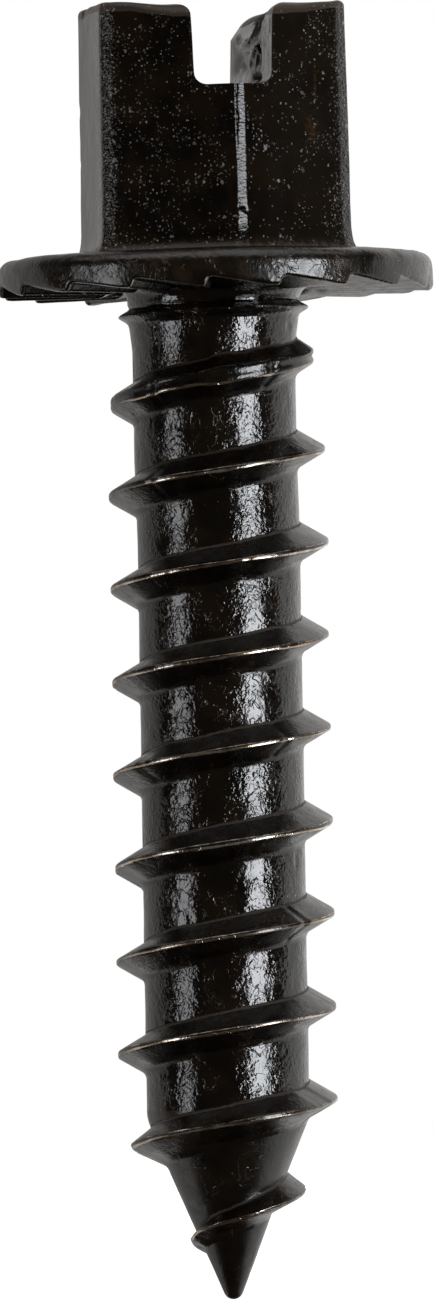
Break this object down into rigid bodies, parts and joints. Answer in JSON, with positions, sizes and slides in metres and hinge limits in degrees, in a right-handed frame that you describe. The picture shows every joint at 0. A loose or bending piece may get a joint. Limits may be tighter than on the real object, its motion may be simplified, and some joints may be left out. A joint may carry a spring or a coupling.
{
  "type": "slotted hex washer head wood screw",
  "caption": "Self-tapping wood screw with a tall slotted hex head, a serrated washer flange, coarse right-hand thread and a gimlet point.",
  "frame": {"origin": "on the screw's axis, in the plane of the flange's tooth tips that bears on the work", "axes": "+Z along the axis out of the work, towards the head; the drive slot runs along Y, and one pair of wrench flats faces +X and -X"},
  "size_m": [0.0108, 0.0108, 0.0321],
  "materials": {
    "black_oxide_steel": "oiled black oxide on cold-headed carbon steel",
    "worn_black_oxide_steel": "oiled black oxide, worn bright along the thread's crest"
  },
  "bodies": {
    "root": {"hex_head": "black_oxide_steel", "washer_flange": "black_oxide_steel", "shank": "black_oxide_steel", "gimlet_point": "black_oxide_steel", "thread": "worn_black_oxide_steel"}
  },
  "joints": []
}
